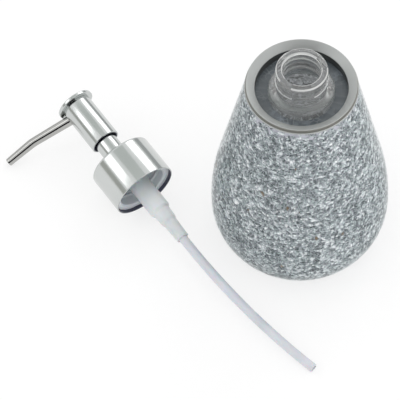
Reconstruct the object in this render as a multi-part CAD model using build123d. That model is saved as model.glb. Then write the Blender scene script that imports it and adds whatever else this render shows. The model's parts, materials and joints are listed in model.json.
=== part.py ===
from build123d import *
import os
from math import asin, acos, atan2, cos, degrees, hypot, pi, radians, sin, sqrt, tan

# Soap pump dispenser: a mosaic glass bottle, and the pump lifted out and laid beside it.
# Millimetres, +Z up, origin at the centre of the bottle's foot on the table.

# Bottle
bottle_radius = 48.6        # outside, at the belly
belly_height = 25.0         # height of the widest ring
lower_round = 40.0          # radius of the profile below the belly
upper_round = 150.0         # radius of the profile just above the belly
rim_radius = 29.0           # outside of the rim
rim_height = 130.0
coat_thickness = 2.0        # clear coat over the chips
mosaic_thickness = 1.5      # glass chips and their bed
glass_wall = 3.0
glass_floor = 5.0
punt_radius = 22.0          # hollow under the foot
punt_depth = 2.5
skirt_lift = 0.5            # coat and chips stop this far above the table
recess_depth = 8.0          # floor of the recess round the neck, below the rim
shoulder_round = 3.0
neck_rise = 13.2            # lip above the rim
neck_radius = 13.0          # plain neck, without its thread
mouth_radius = 10.1
bead_radius = 17.5          # rounded foot of the neck
bead_height = 3.2           # its upright side, above the recess floor
bead_round = 2.6
bead_slope = 15.0           # degrees, from the bead up to the neck
neck_fillet = 0.6
throat_rise = 8.0           # straight mouth ends this far above the recess floor
lip_radius = 13.6           # bead round the lip
lip_band = 3.0              # height of that bead
lip_round = 1.2
opening_radius = 24.3       # recess wall inside the rim
sleeve_wall = 1.2           # rim ring's skirt
rim_face_drop = 2.7         # the rim's top face dips inward by this much
rim_band = 2.0              # outer edge of the rim ring
rim_edge_round = 0.6

# Fits
bond_gap = 0.05             # between pieces that are bonded or pressed
slide_gap = 0.15            # between pieces that slide
run_gap = 0.3               # between pieces that turn or stop on each other

# Collar, heights from its lower edge
collar_radius = 18.6
shell_wall = 0.8
collar_round = 1.6
cap_recess = 2.0            # insert sits this far inside the collar
cap_bore = 14.2
cap_plate = 2.4
cap_foot_flare = 0.8        # lead-in at the insert's mouth
thread_depth = 13.2
gasket_thickness = 1.5
gasket_bore = 8.5
gasket_radius = 13.1
housing_flange = 2.0        # the flange is as wide as the gasket
chaplet_flange = 1.6
chaplet_flange_radius = 10.5

# Housing
barrel_bore = 5.0
barrel_wall = 1.0
barrel_reach = 14.5         # barrel below the collar's lower edge
barrel_floor = 0.8
housing_neck_wall = 2.2     # thicker barrel inside the collar
housing_taper = 1.6         # cone at each step in the housing
throat_radius = 4.9
throat_end_radius = 4.6
throat_length = 8.0
socket_radius = 3.95
socket_end_radius = 3.55
socket_length = 13.4
inlet_radius = 1.1
inlet_length = 2.2          # hole under the valve's seat

# Inlet valve
inlet_ball_radius = 2.0
ball_room = 0.6             # around the ball in its chamber
cage_thickness = 1.0
cage_hole = 1.5

# Dip tube
tube_radius = 2.55
tube_wall = 0.7
tube_straight = 5.1         # beyond the socket, before the bend
tube_bend_radius = 429.0
tube_bend_length = 99.3

# Spring
spring_radius = 3.7         # to the middle of the wire
wire_radius = 0.4
spring_turns = 6

# Stem, piston and stops
stroke = 12.0
stem_radius = 3.1
stem_bore = 1.2
stem_tail_radius = 2.2      # below the shoulder, inside the piston
shoulder_radius = 4.2
shoulder_thickness = 1.6
piston_length = 6.2
piston_waist = 0.7          # piston is this much slimmer between its two lips
piston_lip = 1.4
seat_radius = 3.9
seat_thickness = 2.3
port_radius = 0.6
plug_length = 5.3           # chaplet inside the housing
riser_wall = 1.6            # chaplet above its flange
chimney_radius = 6.45
chimney_wall = 0.9

# Head
head_radius = 8.6
head_wall = 1.2
head_length = 28.2          # lower rim to the underside of the press plate
head_clearance = 1.3        # head's rim above the collar, pressed down
plate_radius = 11.0         # press plate
plate_thickness = 2.0
plate_crown = 0.9
plate_round = 0.8
spigot_depth = 0.6
boss_radius = 5.0
boss_length = 6.5           # boss that grips the stem
stem_headroom = 4.2         # core's plate above the stem's top

# Outlet valve
outlet_ball_radius = 1.6
outlet_room = 0.6
outlet_well = 5.0           # depth of the valve's well in the stem

# Nozzle
nozzle_drop = 4.8           # axis below the press plate, at the pump's axis
nozzle_rise = 12.9          # degrees, first stretch
nozzle_tail = 3.7           # degrees, last stretch, which still rises
nozzle_seat = 4.0           # nozzle's inner end from the pump's axis
nozzle_first = 27.9         # length of the first stretch
nozzle_last = 15.9
nozzle_bend_radius = 25.0
nozzle_root_radius = 2.95
nozzle_bend_section = 2.65
nozzle_tip_radius = 2.3
nozzle_bore = 1.2

# Where the pump lies on the table
pump_x = -85.2              # centre of the collar's lower edge
pump_y = 11.0
pump_heading = -55.7        # degrees, from head towards tube, about +Z from +X
table_gap = 0.05


def turned(*corners):
    """Solid of revolution about Z from (radius, height) corners."""
    return revolve(make_face(Plane.XZ * Polyline(*corners, close=True)), Axis.Z)


def turned_edges(edges):
    """Solid of revolution about Z from the edges of a closed section, drawn as (radius, height)."""
    return revolve(make_face([Plane.XZ * edge for edge in edges]), Axis.Z)


def ring(inner, outer, bottom, top):
    return turned((inner, bottom), (outer, bottom), (outer, top), (inner, top))


def arc_about(centre, radius, start, end):
    """Arc between two angles, in radians from the radial direction."""
    def at(angle):
        return (centre[0] + radius * cos(angle), centre[1] + radius * sin(angle))
    return ThreePointArc(at(start), at((start + end) / 2), at(end))


# Bottle profile: two arcs that meet at the belly, then a straight flank up to the rim
lower_centre = (bottle_radius - lower_round, belly_height)
upper_centre = (bottle_radius - upper_round, belly_height)
to_rim = (rim_radius - upper_centre[0], rim_height - belly_height)
flank_lean = atan2(to_rim[1], to_rim[0]) - acos(upper_round / hypot(*to_rim))


def flank(inset, bottom, top):
    """Edges of the bottle's outline, moved inward, from one height up to another."""
    lower = lower_round - inset
    upper = upper_round - inset
    low_angle = asin((bottom - belly_height) / lower)
    bend = (upper_centre[0] + upper * cos(flank_lean), belly_height + upper * sin(flank_lean))
    rise = top - bend[1]
    end = (bend[0] - rise * sin(flank_lean) / cos(flank_lean), top)
    return [
        arc_about(lower_centre, lower, low_angle, 0),
        arc_about(upper_centre, upper, 0, flank_lean),
        Line(bend, end),
    ]


def ends(edges):
    """First and last (radius, height) of a run of edges."""
    first = edges[0] @ 0
    last = edges[-1] @ 1
    return (first.X, first.Y), (last.X, last.Y)


def flank_layer(outset, inset, bottom, top):
    outer = flank(outset, bottom, top)
    inner = flank(inset, bottom, top)
    outer_low, outer_high = ends(outer)
    inner_low, inner_high = ends(inner)
    caps = [Line(inner_low, outer_low), Line(inner_high, outer_high)]
    return turned_edges(outer + inner + caps)


shoulder_height = rim_height - recess_depth
mosaic_inset = coat_thickness + bond_gap
glass_inset = mosaic_inset + mosaic_thickness + bond_gap
cavity_inset = glass_inset + glass_wall
layer_top = rim_height - rim_band - bond_gap
lip_height = rim_height + neck_rise
neck_end = lip_height - lip_band - (lip_radius - neck_radius)   # plain neck ends under the lip's bead

clear_coat = flank_layer(0, coat_thickness, skirt_lift, layer_top)
mosaic_layer = flank_layer(mosaic_inset, mosaic_inset + mosaic_thickness, skirt_lift, layer_top)


def make_bottle():
    lean_turn = (cos(flank_lean), sin(flank_lean))
    outside = flank(glass_inset, 0, shoulder_height - shoulder_round * (1 - lean_turn[1]))
    foot, shoulder = ends(outside)
    corner = (shoulder[0] - shoulder_round * lean_turn[0], shoulder_height)
    slope = radians(bead_slope)
    bead_centre = (bead_radius - bead_round, shoulder_height + bead_height)
    crest = (bead_centre[0] + bead_round * sin(slope), bead_centre[1] + bead_round * cos(slope))
    fillet_centre = neck_radius + neck_fillet
    fillet_foot = fillet_centre - neck_fillet * sin(slope)
    fillet_height = crest[1] + (crest[0] - fillet_foot) * tan(slope) + neck_fillet * cos(slope)
    lip_edge = lip_height - lip_band
    lip_foot = (neck_radius, neck_end)
    inside_top = shoulder_height - glass_wall
    inside = flank(cavity_inset, glass_floor, inside_top - shoulder_round)
    floor_edge, inner_shoulder = ends(inside)
    throat = (mouth_radius, shoulder_height + throat_rise)
    inner_flare = (bead_radius - glass_wall, inside_top)
    edges = [
        Line((punt_radius, 0), foot),
        *outside,
        arc_about((corner[0], shoulder_height - shoulder_round), shoulder_round, flank_lean, pi / 2),
        Line(corner, (bead_radius, shoulder_height)),
        Line((bead_radius, shoulder_height), (bead_radius, bead_centre[1])),
        arc_about(bead_centre, bead_round, 0, pi / 2 - slope),
        Line(crest, (fillet_foot, fillet_height - neck_fillet * cos(slope))),
        arc_about((fillet_centre, fillet_height), neck_fillet, 3 * pi / 2 - slope, pi),
        Line((neck_radius, fillet_height), lip_foot),
        Line(lip_foot, (lip_radius, lip_edge)),
        Line((lip_radius, lip_edge), (lip_radius, lip_height - lip_round)),
        arc_about((lip_radius - lip_round, lip_height - lip_round), lip_round, 0, pi / 2),
        Line((lip_radius - lip_round, lip_height), (mouth_radius, lip_height)),
        Line((mouth_radius, lip_height), throat),
        Line(throat, inner_flare),
        Line(inner_flare, inner_shoulder),
        *inside,
        Line(floor_edge, (0, glass_floor)),
        Line((0, glass_floor), (0, punt_depth)),
        Line((0, punt_depth), (punt_radius - punt_depth, punt_depth)),
        Line((punt_radius - punt_depth, punt_depth), (punt_radius, 0)),
    ]
    return turned_edges(edges)


def make_rim_ring():
    under = rim_height - rim_band
    sleeve = opening_radius + sleeve_wall
    skirt = shoulder_height + bond_gap
    edges = turned(
        (opening_radius, skirt),
        (sleeve, skirt),
        (sleeve, under),
        (rim_radius, under),
        (rim_radius, rim_height),
        (opening_radius, rim_height - rim_face_drop),
    )
    outer_edge = edges.edges().filter_by(GeomType.CIRCLE).sort_by(Axis.Z)[-1]
    return fillet(outer_edge, rim_edge_round)


glass_bottle = make_bottle()
rim_ring = make_rim_ring()

# Heights along the pump, from the collar's lower edge towards the head
gasket_bottom = cap_recess + thread_depth
gasket_top = gasket_bottom + gasket_thickness
flange_top = gasket_top + housing_flange
cap_plate_bottom = flange_top + run_gap
cap_plate_top = cap_plate_bottom + cap_plate
chaplet_seat = cap_plate_top + run_gap
chaplet_top = chaplet_seat + chaplet_flange
shell_plate_bottom = chaplet_top + run_gap
collar_height = shell_plate_bottom + shell_wall
head_rim = collar_height + stroke + head_clearance
plate_bottom = head_rim + head_length
nozzle_height = plate_bottom - nozzle_drop
core_bottom = nozzle_height - nozzle_root_radius - head_wall
chimney_top = core_bottom - stroke - 2 * run_gap
stem_top = core_bottom - stem_headroom
boss_bottom = stem_top - boss_length
riser_top = boss_bottom - stroke - 2 * run_gap
plug_bottom = chaplet_seat - plug_length
shoulder_top = plug_bottom - run_gap
piston_top = shoulder_top - shoulder_thickness - slide_gap
piston_bottom = piston_top - piston_length
seat_top = piston_bottom - slide_gap
seat_bottom = seat_top - seat_thickness
barrel_bottom = -barrel_reach
cage_bottom = barrel_bottom + barrel_floor
cage_top = cage_bottom + cage_thickness
throat_bottom = barrel_bottom - throat_length
socket_bottom = throat_bottom - socket_length

# Collar: a metal shell pressed over a threaded insert
cap_radius = collar_radius - shell_wall - bond_gap
collar_hole = chimney_radius + run_gap
barrel_radius = barrel_bore + barrel_wall
housing_neck = barrel_bore + housing_neck_wall


def make_collar_shell():
    inside = collar_radius - shell_wall
    round_foot = collar_height - collar_round
    edges = [
        Line((inside, 0), (collar_radius, 0)),
        Line((collar_radius, 0), (collar_radius, round_foot)),
        arc_about((collar_radius - collar_round, round_foot), collar_round, 0, pi / 2),
        Line((collar_radius - collar_round, collar_height), (collar_hole, collar_height)),
        Line((collar_hole, collar_height), (collar_hole, shell_plate_bottom)),
        Line((collar_hole, shell_plate_bottom), (inside - shell_wall, shell_plate_bottom)),
        Line((inside - shell_wall, shell_plate_bottom), (inside, shell_plate_bottom - shell_wall)),
        Line((inside, shell_plate_bottom - shell_wall), (inside, 0)),
    ]
    return turned_edges(edges)


collar_shell = make_collar_shell()
collar_cap = turned(
    (cap_bore + cap_foot_flare, cap_recess),
    (cap_radius, cap_recess),
    (cap_radius, cap_plate_top),
    (housing_neck + run_gap, cap_plate_top),
    (housing_neck + run_gap, cap_plate_bottom),
    (cap_bore, cap_plate_bottom),
    (cap_bore, cap_recess + cap_foot_flare),
)
gasket = ring(gasket_bore, gasket_radius, gasket_bottom, gasket_top - bond_gap)

# Inlet valve seat: a 45 degree cone that the ball closes
chamber_radius = inlet_ball_radius + ball_room
seat_foot = throat_bottom + inlet_length
inlet_ball_height = seat_foot - inlet_radius + sqrt(2) * (inlet_ball_radius + slide_gap)
tube_bore = tube_radius - tube_wall
socket_bore = tube_radius + bond_gap
housing = turned(
    (barrel_bore, chaplet_seat - bond_gap),
    (housing_neck, chaplet_seat - bond_gap),
    (housing_neck, flange_top),
    (gasket_radius, flange_top),
    (gasket_radius, gasket_top),
    (barrel_radius, gasket_top),
    (barrel_radius, barrel_bottom),
    (throat_radius, barrel_bottom - housing_taper),
    (throat_end_radius, throat_bottom),
    (socket_radius, throat_bottom - housing_taper),
    (socket_end_radius, socket_bottom),
    (socket_bore, socket_bottom),
    (socket_bore, throat_bottom - bond_gap),
    (inlet_radius, throat_bottom - bond_gap),
    (inlet_radius, seat_foot),
    (chamber_radius, seat_foot + chamber_radius - inlet_radius),
    (chamber_radius, cage_bottom),
    (barrel_bore, cage_bottom),
)
inlet_ball = Pos(0, 0, inlet_ball_height) * Sphere(inlet_ball_radius)
inlet_lift = cage_bottom - slide_gap - inlet_ball_height - inlet_ball_radius

# Cage: a disc with a ring of holes that keeps the ball under the spring
cage_rim = barrel_bore - bond_gap
cage_holes = PolarLocations((cage_rim + cage_hole) / 2 - cage_hole / 2, 4)
ball_cage = ring(0, cage_rim, cage_bottom + bond_gap, cage_top)
ball_cage -= Pos(0, 0, cage_bottom) * cage_holes * Cylinder(cage_hole / 2, 4 * cage_thickness)

# Chaplet: closes the housing, guides the stem and carries the chimney
stem_guide = stem_radius + run_gap
riser_radius = stem_guide + riser_wall
chaplet = turned(
    (stem_guide, plug_bottom),
    (barrel_bore - bond_gap, plug_bottom),
    (barrel_bore - bond_gap, chaplet_seat),
    (chaplet_flange_radius, chaplet_seat),
    (chaplet_flange_radius, chaplet_top),
    (riser_radius, chaplet_top),
    (riser_radius, riser_top),
    (stem_guide, riser_top),
)
chimney_bore = chimney_radius - chimney_wall
chimney = ring(chimney_bore, chimney_radius, chaplet_top + bond_gap, chimney_top)

# Stem with its shoulder, its outlet valve well and two ports under the piston
well_radius = outlet_ball_radius + outlet_room
well_foot = stem_top - outlet_well
outlet_ball_height = well_foot - stem_bore + sqrt(2) * (outlet_ball_radius + slide_gap)
stem = turned(
    (stem_bore, seat_bottom + seat_thickness / 2),
    (stem_tail_radius, seat_bottom + seat_thickness / 2),
    (stem_tail_radius, piston_top + slide_gap),
    (shoulder_radius, piston_top + slide_gap),
    (shoulder_radius, shoulder_top),
    (stem_radius, shoulder_top),
    (stem_radius, stem_top),
    (well_radius, stem_top),
    (well_radius, well_foot + well_radius - stem_bore),
    (stem_bore, well_foot),
)
port_height = seat_top + port_radius + slide_gap
stem -= Pos(0, 0, port_height) * Rot(90, 0, 0) * Cylinder(port_radius, 4 * stem_radius)
outlet_ball = Pos(0, 0, outlet_ball_height) * Sphere(outlet_ball_radius)
outlet_lift = stem_top - outlet_ball_height - outlet_ball_radius

# Piston: two lips that wipe the barrel, and a seat below it that closes the stem
piston_radius = barrel_bore - slide_gap
piston_bore = stem_tail_radius + slide_gap
piston = turned(
    (piston_bore, piston_bottom),
    (piston_radius, piston_bottom),
    (piston_radius, piston_bottom + piston_lip),
    (piston_radius - piston_waist, piston_bottom + 2 * piston_lip),
    (piston_radius - piston_waist, piston_top - 2 * piston_lip),
    (piston_radius, piston_top - piston_lip),
    (piston_radius, piston_top),
    (piston_bore, piston_top),
)
piston_seat = turned(
    (0, seat_bottom),
    (seat_radius, seat_bottom),
    (seat_radius, seat_top),
    (stem_tail_radius + bond_gap, seat_top),
    (stem_tail_radius + bond_gap, seat_bottom + seat_thickness / 2 - bond_gap),
    (0, seat_bottom + seat_thickness / 2 - bond_gap),
)


def biarc(start, start_way, end, end_way):
    """Two arcs that leave one point and reach another along given directions."""
    step = end - start
    ways = start_way + end_way
    across = 2 * (1 - start_way.dot(end_way))
    along = step.dot(ways)
    reach = (sqrt(along ** 2 + across * step.dot(step)) - along) / across
    joint = (start + end + (start_way - end_way) * reach) * 0.5
    chord = (joint - start).normalized()
    joint_way = chord * (2 * chord.dot(start_way)) - start_way
    return [
        Edge.make_tangent_arc(start, start_way, joint),
        Edge.make_tangent_arc(joint, joint_way, end),
    ]


def make_spring():
    """One unbroken helix between the cage and the piston's seat."""
    bottom = cage_top + wire_radius + bond_gap
    rise = seat_bottom - bond_gap - wire_radius - bottom
    steps = 4 * spring_turns
    pitch = rise / (2 * pi * spring_turns)

    def at(angle):
        return Vector(spring_radius * cos(angle), spring_radius * sin(angle), bottom + pitch * angle)

    def way(angle):
        return Vector(-spring_radius * sin(angle), spring_radius * cos(angle), pitch).normalized()

    angles = [2 * pi * spring_turns * i / steps for i in range(steps + 1)]
    edges = []
    for a, b in zip(angles, angles[1:]):
        edges += biarc(at(a), way(a), at(b), way(b))
    path = Wire(edges)
    section = Plane(origin=at(0), z_dir=way(0)) * Circle(wire_radius)
    points = [at(a) for a in angles]
    apart = min((p - q).length for i, p in enumerate(points) for q in points[i + 3:])
    print("least gap between the spring's turns:", round(apart - 2 * wire_radius, 2))
    return sweep(section, path=path)


spring = make_spring()

# Head: core on the stem, plated shell, press plate and nozzle
core_radius = head_radius - head_wall - bond_gap
shell_bore = head_radius - head_wall
core_top = plate_bottom - spigot_depth - bond_gap
rise_way = (cos(radians(nozzle_rise)), 0, sin(radians(nozzle_rise)))
tail_way = (cos(radians(nozzle_tail)), 0, sin(radians(nozzle_tail)))
nozzle_start = Vector(nozzle_seat, 0, nozzle_height)
bend_start = nozzle_start + Vector(*rise_way) * nozzle_first
nozzle_arc = Edge.make_tangent_arc(
    bend_start,
    Vector(*rise_way),
    bend_start + Vector(
        nozzle_bend_radius * (sin(radians(nozzle_rise)) - sin(radians(nozzle_tail))),
        0,
        nozzle_bend_radius * (cos(radians(nozzle_tail)) - cos(radians(nozzle_rise))),
    ),
)
bend_end = nozzle_arc @ 1
nozzle_end = bend_end + Vector(*tail_way) * nozzle_last
root_plane = Plane(origin=nozzle_start, z_dir=rise_way)


def along(plane, length):
    """Place a solid so that it grows from the plane instead of being centred on it."""
    return plane * Pos(0, 0, length / 2)


def make_nozzle():
    first = along(root_plane, nozzle_first) * Cone(nozzle_root_radius, nozzle_bend_section, nozzle_first)
    last_plane = Plane(origin=bend_end, z_dir=tail_way)
    last = along(last_plane, nozzle_last) * Cone(nozzle_bend_section, nozzle_tip_radius, nozzle_last)
    bend_plane = Plane(origin=bend_start, z_dir=rise_way)
    bend = sweep(bend_plane * Circle(nozzle_bend_section), path=Wire([nozzle_arc]))
    bore_path = Wire([Edge.make_line(nozzle_start, bend_start), nozzle_arc, Edge.make_line(bend_end, nozzle_end)])
    bore = sweep(root_plane * Circle(nozzle_bore), path=bore_path)
    return first + bend + last - bore


nozzle = make_nozzle()
nozzle_hole = along(root_plane, nozzle_first) * Cylinder(nozzle_root_radius + bond_gap, nozzle_first)

actuator_core = turned(
    (stem_radius + bond_gap, boss_bottom),
    (boss_radius, boss_bottom),
    (boss_radius, core_bottom),
    (core_radius, core_bottom),
    (core_radius, core_top),
    (0, core_top),
    (0, nozzle_height),
    (stem_bore, nozzle_height),
    (stem_bore, stem_top + bond_gap),
    (stem_radius + bond_gap, stem_top + bond_gap),
)
actuator_core -= nozzle_hole
actuator_core -= Pos(nozzle_seat / 2, 0, nozzle_height) * Rot(0, 90, 0) * Cylinder(nozzle_bore, nozzle_seat)

head_shell = ring(shell_bore, head_radius, head_rim, plate_bottom - bond_gap)
head_shell -= nozzle_hole


def make_head_cap():
    """Domed press plate with a spigot that plugs the shell."""
    crown = (plate_radius - plate_round) ** 2 / (2 * plate_crown) + plate_crown / 2
    plate_top = plate_bottom + plate_thickness
    dome_turn = asin((plate_radius - plate_round) / crown)
    spigot = shell_bore - bond_gap
    edges = [
        Line((0, plate_bottom - spigot_depth), (spigot, plate_bottom - spigot_depth)),
        Line((spigot, plate_bottom - spigot_depth), (spigot, plate_bottom)),
        Line((spigot, plate_bottom), (plate_radius - plate_round / 2, plate_bottom)),
        Line((plate_radius - plate_round / 2, plate_bottom), (plate_radius, plate_bottom + plate_round / 2)),
        Line((plate_radius, plate_bottom + plate_round / 2), (plate_radius, plate_top - plate_round)),
        arc_about((plate_radius - plate_round, plate_top - plate_round), plate_round, 0, pi / 2),
        arc_about((0, plate_top + plate_crown - crown), crown, pi / 2 - dome_turn, pi / 2),
        Line((0, plate_top + plate_crown), (0, plate_bottom - spigot_depth)),
    ]
    return turned_edges(edges)


head_cap = make_head_cap()

# Dip tube: straight out of the socket, then one long bend to the side
tube_top = throat_bottom - 2 * bond_gap
tube_bend_start = socket_bottom - tube_straight
tube_turn = tube_bend_length / tube_bend_radius


def make_dip_tube():
    start = Vector(0, 0, tube_top)
    middle = Vector(0, 0, tube_bend_start)
    end = middle + Vector(tube_bend_radius * (1 - cos(tube_turn)), 0, -tube_bend_radius * sin(tube_turn))
    path = Wire([Edge.make_line(start, middle), Edge.make_tangent_arc(middle, Vector(0, 0, -1), end)])
    section = Plane(origin=start, z_dir=(0, 0, -1)) * (Circle(tube_radius) - Circle(tube_bore))
    return sweep(section, path=path)


dip_tube = make_dip_tube()

# Lean the pump on its collar's lower edge and the tube's end, rolled until the nozzle's tip meets the table
tube_reach = tube_bend_radius * sin(tube_turn) - tube_bend_start
pump_tilt = atan2(collar_radius - tube_radius - table_gap, tube_reach)
pump_z = collar_radius * cos(pump_tilt)
tip_height = pump_z + nozzle_end.Z * sin(pump_tilt) - table_gap
tip_span = hypot(nozzle_end.X, nozzle_tip_radius)
tip_dip = asin(tip_height / tip_span) - atan2(nozzle_tip_radius, nozzle_end.X)
pump_roll = asin(sin(tip_dip) / cos(pump_tilt))
heading = radians(pump_heading)
tube_way = Vector(cos(heading) * cos(pump_tilt), sin(heading) * cos(pump_tilt), -sin(pump_tilt))
side_way = Vector(sin(heading), -cos(heading), 0)
over_way = side_way.cross(tube_way)
nozzle_way = side_way * cos(pump_roll) - over_way * sin(pump_roll)
pump_origin = (pump_x, pump_y, pump_z)
pump_plane = Plane(origin=pump_origin, x_dir=nozzle_way, z_dir=-tube_way)
tube_plane = Plane(origin=pump_origin, x_dir=-side_way, z_dir=-tube_way)

print("pump roll and tilt, degrees:", round(degrees(pump_roll), 2), round(degrees(pump_tilt), 2))
print("ball lifts: inlet", round(inlet_lift, 2), "outlet", round(outlet_lift, 2))
print("overall heights: rim", rim_height, "lip", lip_height, "with pump", lip_height - gasket_bottom
      + plate_bottom + plate_thickness + plate_crown)

standing = {
    "glass_bottle": glass_bottle,
    "mosaic_layer": mosaic_layer,
    "clear_coat": clear_coat,
    "rim_ring": rim_ring,
}
lying = {
    "collar_shell": collar_shell,
    "collar_cap": collar_cap,
    "gasket": gasket,
    "housing": housing,
    "chaplet": chaplet,
    "chimney": chimney,
    "spring": spring,
    "ball_cage": ball_cage,
    "inlet_ball": inlet_ball,
    "piston": piston,
    "stem": stem,
    "piston_seat": piston_seat,
    "actuator_core": actuator_core,
    "head_shell": head_shell,
    "head_cap": head_cap,
    "nozzle": nozzle,
    "outlet_ball": outlet_ball,
}
nodes = dict(standing)
nodes.update({name: pump_plane * shape for name, shape in lying.items()})
nodes["dip_tube"] = tube_plane * dip_tube

os.makedirs("parts", exist_ok=True)
for name, shape in nodes.items():
    export_step(shape, f"parts/{name}.step")
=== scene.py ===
import bpy
import json
import random
from bisect import bisect_right
from math import acos, atan2, cos, hypot, pi, radians, sin, sqrt, tan, tau
from mathutils import Matrix, Quaternion, Vector


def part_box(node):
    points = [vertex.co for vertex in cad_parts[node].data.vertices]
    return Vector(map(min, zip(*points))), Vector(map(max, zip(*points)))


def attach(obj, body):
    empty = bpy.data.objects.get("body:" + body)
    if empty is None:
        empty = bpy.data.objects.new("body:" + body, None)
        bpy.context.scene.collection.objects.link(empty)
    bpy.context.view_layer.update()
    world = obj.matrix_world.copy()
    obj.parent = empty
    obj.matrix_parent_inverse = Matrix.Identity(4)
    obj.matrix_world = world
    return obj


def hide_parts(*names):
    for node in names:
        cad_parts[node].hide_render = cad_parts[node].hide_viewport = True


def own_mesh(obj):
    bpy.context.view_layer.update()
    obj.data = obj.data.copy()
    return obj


# Soap pump dispenser: the looks of the mosaic bottle and of the pump that lies beside it.
# Metres, in the part's own frame. Sizes come from the frame where it has them.

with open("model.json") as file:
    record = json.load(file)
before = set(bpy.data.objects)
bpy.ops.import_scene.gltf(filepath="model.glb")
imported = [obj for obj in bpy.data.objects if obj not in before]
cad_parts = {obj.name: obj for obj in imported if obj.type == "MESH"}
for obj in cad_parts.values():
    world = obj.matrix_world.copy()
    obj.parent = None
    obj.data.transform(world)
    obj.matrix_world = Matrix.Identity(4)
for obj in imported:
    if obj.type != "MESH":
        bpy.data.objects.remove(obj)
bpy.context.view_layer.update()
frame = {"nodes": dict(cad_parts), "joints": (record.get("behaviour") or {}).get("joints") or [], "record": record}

MM = 0.001
TINY = 1e-7
NEAR = 1e-6  # radii closer than this belong to one wall

# Meshes
SEGMENTS = 144  # round pieces
ROUND_STEPS = 5  # on a rounded corner
FINE_STEPS = 8  # on a rounded corner that shows well
TURNED_STEPS = 4  # on the corners of a section read from a solid
ROUND_REACH = 0.45  # most of a side that a rounded corner takes up
FLAT_CORNER = radians(85)  # half angle from which a corner stays as it is
SHARP_EDGE = radians(32)
ANGLE_STEP = radians(1.5)  # along the bottle's outline
FLANK_STEPS = 12
JOINT_GAP = 0.02 * MM
SMALL_ROUND = 0.1 * MM
READ_GRAIN = 0.008 * MM  # corners of a solid this close are one

# Bottle, with most sizes as in the part's source
BELLY_HEIGHT = 25.0 * MM
LOWER_ROUND = 40.0 * MM
UPPER_ROUND = 150.0 * MM
GLASS_WALL = 3.0 * MM
GLASS_FLOOR = 5.0 * MM
GLASS_INSET = 3.6 * MM
PUNT_RADIUS = 22.0 * MM
PUNT_DEPTH = 2.5 * MM
SHOULDER_ROUND = 3.0 * MM
SHOULDER_STEPS = 6
BEAD_RADIUS = 17.5 * MM  # bead at the neck's foot
BEAD_HEIGHT = 3.2 * MM
BEAD_ROUND = 2.6 * MM
BEAD_SLOPE = radians(15)
BEAD_STEPS = 12
NECK_RADIUS = 13.0 * MM
NECK_FILLET = 1.4 * MM
LIP_BAND = 3.0 * MM
LIP_ROUND = 1.2 * MM
LIP_FILLET = 0.6 * MM
LIP_STEPS = 7
MOUTH_ROUND = 0.8 * MM
THROAT_RISE = 8.0 * MM
THROAT_LEAD = 4.0 * MM  # straight stretch over the throat
OPENING_RADIUS = 24.3 * MM
OPENING_ROUND = 0.45 * MM
SLEEVE_WALL = 1.2 * MM
RIM_HEIGHT = 130.0 * MM  # before its edge is rounded
RIM_FACE_DROP = 2.7 * MM
RIM_BAND = 2.0 * MM
RIM_ROUND = 0.2 * MM

# Rim's bead and groove, which only the scene has, from the band's foot and the rim's radius
RIM_BEAD = 0.65 * MM  # how far the bead stands out
RIM_BEAD_FOOT = 1.0 * MM  # below the band's foot
RIM_BEAD_TOP = 0.15 * MM  # below the band's foot
RIM_BEAD_BACK = 0.35 * MM
RIM_BEAD_ROUND = 0.3 * MM
GROOVE_TOP = 1.45 * MM
GROOVE_DEPTH = 0.25 * MM
GROOVE_EDGE = 0.05 * MM  # round of the band's lower edge
BAND_DEPTH = 0.15 * MM
# The recess wall's tone is painted shade.
RECESS_EDGE = 0.3 * MM  # the recess wall's tone ends this far from the face

# Mosaic chips; depths are below the layer's surface
CHIP_STEP = 1.95 * MM  # between points along a row
CHIP_ROW = 1.62 * MM  # between rows
CHIP_JITTER = 0.34  # share of a step
CHIP_INSET = 0.225 * MM  # corners drawn in, which leaves the grout free
CHIP_LEAST = 0.35  # share of its reach that a corner always keeps
CHIP_BEVEL = 0.10 * MM
CHIP_TOP = 0.10 * MM  # depth of a chip's middle
CHIP_LIFT = 0.12 * MM  # most that it differs from this
CHIP_PROUD = 0.30 * MM  # most that a corner stands out
CHIP_BED = 0.50 * MM  # depth of the grout
CHIP_ROOT = 0.62 * MM  # depth of a chip's underside
CHIP_LEAN = 0.08  # usual slope of a chip
CHIP_SKIRT = 2.2 * MM  # clear of chips under the rim
CHIP_THIN = 6.0 * MM  # chips grow sparse over this length under the rim
THIN_SHARE = 0.15  # chips left at its upper end
COAT_BACK = 0.9 * MM  # depth to which the coat fills in among the chips
MERGE_SHARES = (0.34, 0.40, 0.20, 0.06)  # chips that take in none, one, two and three triangles
CHIP_TONES = ((0.20, 0.07), (0.50, 0.09), (0.76, 0.08), (1.0, 0.03))  # tone and its spread
TONE_SHARES = (0.30, 0.38, 0.25, 0.07)
STRIPES = 5200.0  # fine stripes inside a chip, radians a metre
STRIPED_SHARE = 0.5
WARM_SHARE = 0.002  # chips with a brown tint
WARM_TINT = 0.75
SEED = 41

# Screw threads
THREAD_PITCH = 4.8 * MM
NECK_RIDGE = 0.9 * MM
CAP_RIDGE = 0.55 * MM
NECK_START = 1.4 * MM  # first ridge over the wall's lower end
CAP_START = 1.6 * MM
THREAD_HALF = 1.15 * MM  # half of a ridge's width
THREAD_TURNS = 1.5
THREAD_FADE = 0.1  # turns over which a ridge's end runs out
THREAD_ROWS = 44

# Painted highlights on the neck's edges, in arcs where an uneven wave is over a level: phase, unevenness, level
CREST_ARCS = (pi / 2, 0.5, -0.35)
LIP_ARCS = (pi + 0.6, -0.6, -0.75)
ARC_WAVES = 2  # round the neck
UNEVEN_WAVES = 5
CREST_SHARE = 0.55  # of the ridge's height
LIP_DOWN = 0.7  # of the lip's round
LIP_OUTER = 0.5  # of the lip's round
LIP_INNER = 0.7  # of the mouth's round

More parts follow.
